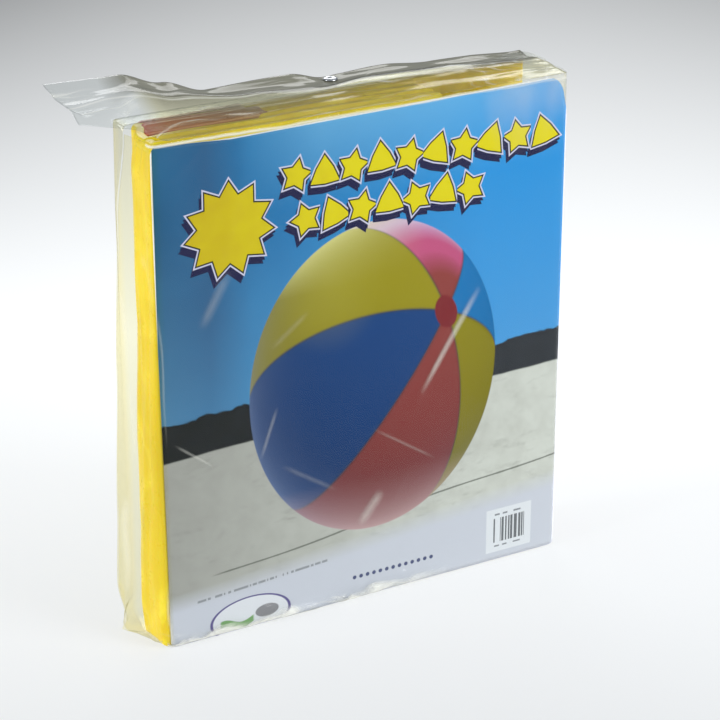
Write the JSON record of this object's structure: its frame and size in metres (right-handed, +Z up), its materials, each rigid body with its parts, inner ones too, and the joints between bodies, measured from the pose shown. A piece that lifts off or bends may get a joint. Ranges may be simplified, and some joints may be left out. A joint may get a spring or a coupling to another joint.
{
  "type": "inflatable beach ball",
  "caption": "Giant inflatable beach ball folded flat with its printed card in a clear film bag, whose mouth folds back over the top and snaps shut.",
  "frame": {"origin": "middle of the bag's base, on the surface that it stands on", "axes": "+X to the right along the card, +Y from the printed front to the back, +Z up"},
  "size_m": [0.3616, 0.061, 0.386],
  "materials": {
    "clear_film": "clear glossy flexible film, wrinkled",
    "printed_card": "coated card with a printed beach picture",
    "vinyl_yellow": "soft glossy vinyl film, folded",
    "vinyl_blue": "soft glossy vinyl film, folded",
    "vinyl_red": "soft glossy vinyl film, folded",
    "vinyl_pink": "soft glossy vinyl film, folded",
    "vinyl_pad": "doubled vinyl film, welded and puffed up",
    "valve_vinyl": "soft milky moulded vinyl",
    "patch_film": "loose vinyl film squares",
    "snap_metal": "pressed and plated steel"
  },
  "bodies": {
    "bag": {"bag_front_film": "clear_film", "bag_back_film": "clear_film", "snap_stud": "snap_metal", "snap_post": "snap_metal", "card_insert": "printed_card", "gore_yellow_a": "vinyl_yellow", "gore_yellow_b": "vinyl_yellow", "gore_blue_a": "vinyl_blue", "gore_blue_b": "vinyl_blue", "gore_red": "vinyl_red", "gore_pink": "vinyl_pink", "pole_patch_top": "vinyl_pad", "pole_patch_bottom": "vinyl_red", "valve_flange": "valve_vinyl", "repair_patches": "patch_film"},
    "closure_flap": {"closure_flap_film": "clear_film", "snap_cap": "snap_metal", "snap_socket": "snap_metal"},
    "valve_stem": {"valve_stem": "valve_vinyl"},
    "valve_plug": {"valve_plug": "valve_vinyl"},
    "check_flap": {"check_flap": "valve_vinyl"}
  },
  "joints": [
    {"name": "closure_flap_hinge", "type": "hinge", "parent": "bag", "child": "closure_flap", "pos_m": [0, 0.008, 0.3613], "axis": [1, 0, 0], "range_deg": [0, 90]},
    {"name": "valve_stem_slide", "type": "slide", "parent": "bag", "child": "valve_stem", "axis": [0, 0, 1], "range_m": [-0.008, 0]},
    {"name": "valve_plug_hinge", "type": "hinge", "parent": "valve_stem", "child": "valve_plug", "pos_m": [0.092, 0, 0.32655], "axis": [0, -1, 0], "range_deg": [0, 160]},
    {"name": "check_flap_hinge", "type": "hinge", "parent": "valve_stem", "child": "check_flap", "pos_m": [0.0988, 0, 0.3062], "axis": [0, 1, 0], "range_deg": [0, 60]}
  ]
}
